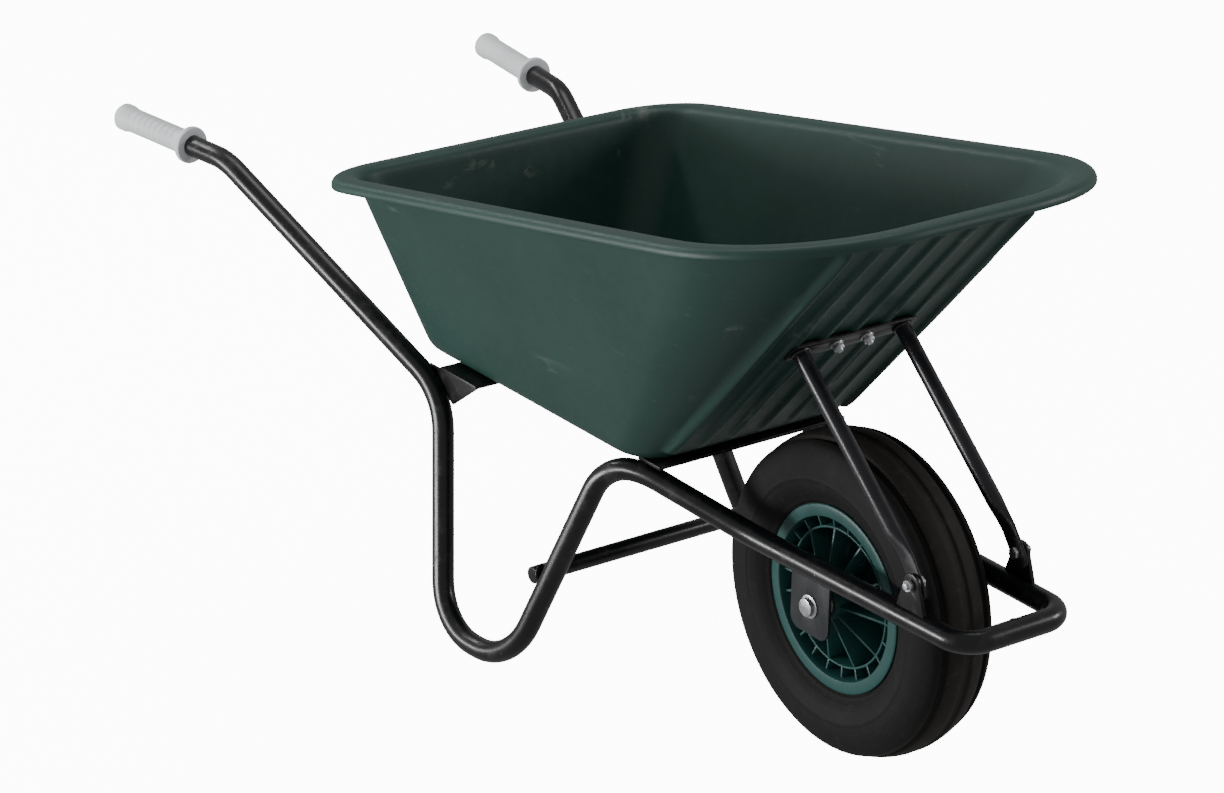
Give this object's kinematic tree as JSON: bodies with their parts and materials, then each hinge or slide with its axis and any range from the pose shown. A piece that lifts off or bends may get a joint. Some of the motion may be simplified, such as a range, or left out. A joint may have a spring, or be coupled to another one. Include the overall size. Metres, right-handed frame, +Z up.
{
  "type": "wheelbarrow",
  "caption": "Wheelbarrow with a deep tray on a bent tube frame with looped legs, a ribbed and braced nose, plastic grips and a free-spinning pneumatic wheel.",
  "frame": {"origin": "on the ground, midway along the overall length and on the centre plane", "axes": "+X forward, towards the wheel; +Y to the user's left; +Z up"},
  "size_m": [1.5029, 0.622, 0.725],
  "materials": {
    "tray_plastic": "satin moulded green plastic",
    "frame_paint": "gloss blue-black paint",
    "bracket_paint": "satin black paint",
    "plate_paint": "satin dark grey paint",
    "bare_steel": "bare drawn steel",
    "zinc": "bright zinc plate",
    "grip_plastic": "pale grey moulded plastic",
    "rim_plastic": "satin green moulded plastic",
    "bush_plastic": "natural nylon",
    "tyre_rubber": "matt black rubber",
    "tube_rubber": "soft black rubber",
    "brass": "turned brass",
    "cap_plastic": "black moulded plastic"
  },
  "bodies": {
    "chassis": {"tray": "tray_plastic", "frame_tube_right": "frame_paint", "frame_tube_left": "frame_paint", "frame_joint_sleeve": "bare_steel", "leg_stay": "frame_paint", "rear_bearer": "bracket_paint", "front_bearer": "bracket_paint", "gusset_right": "bracket_paint", "gusset_left": "bracket_paint", "axle_plate_right": "plate_paint", "axle_plate_left": "plate_paint", "axle": "zinc", "axle_washers": "zinc", "axle_spacers": "zinc", "axle_caps": "zinc", "nose_strip": "bracket_paint", "nose_brace_right": "frame_paint", "nose_brace_left": "frame_paint", "brace_lug_right": "frame_paint", "brace_lug_left": "frame_paint", "brace_bolts": "zinc", "brace_nuts": "zinc", "tray_bolts": "zinc", "tray_washers": "zinc", "tray_nuts": "zinc", "grip_right": "grip_plastic", "grip_left": "grip_plastic"},
    "wheel": {"wheel_rim": "rim_plastic", "wheel_hub": "rim_plastic", "wheel_web": "rim_plastic", "wheel_cell_rings": "rim_plastic", "wheel_outer_ribs": "rim_plastic", "wheel_inner_ribs": "rim_plastic", "hub_bush_right": "bush_plastic", "hub_bush_left": "bush_plastic", "tyre": "tyre_rubber", "inner_tube": "tube_rubber", "valve_stem": "brass", "valve_cap": "cap_plastic"}
  },
  "joints": [
    {"name": "wheel_spin", "type": "hinge", "parent": "chassis", "child": "wheel", "pos_m": [0.46246, 0, 0.2], "axis": [0, 1, 0], "continuous": true}
  ]
}
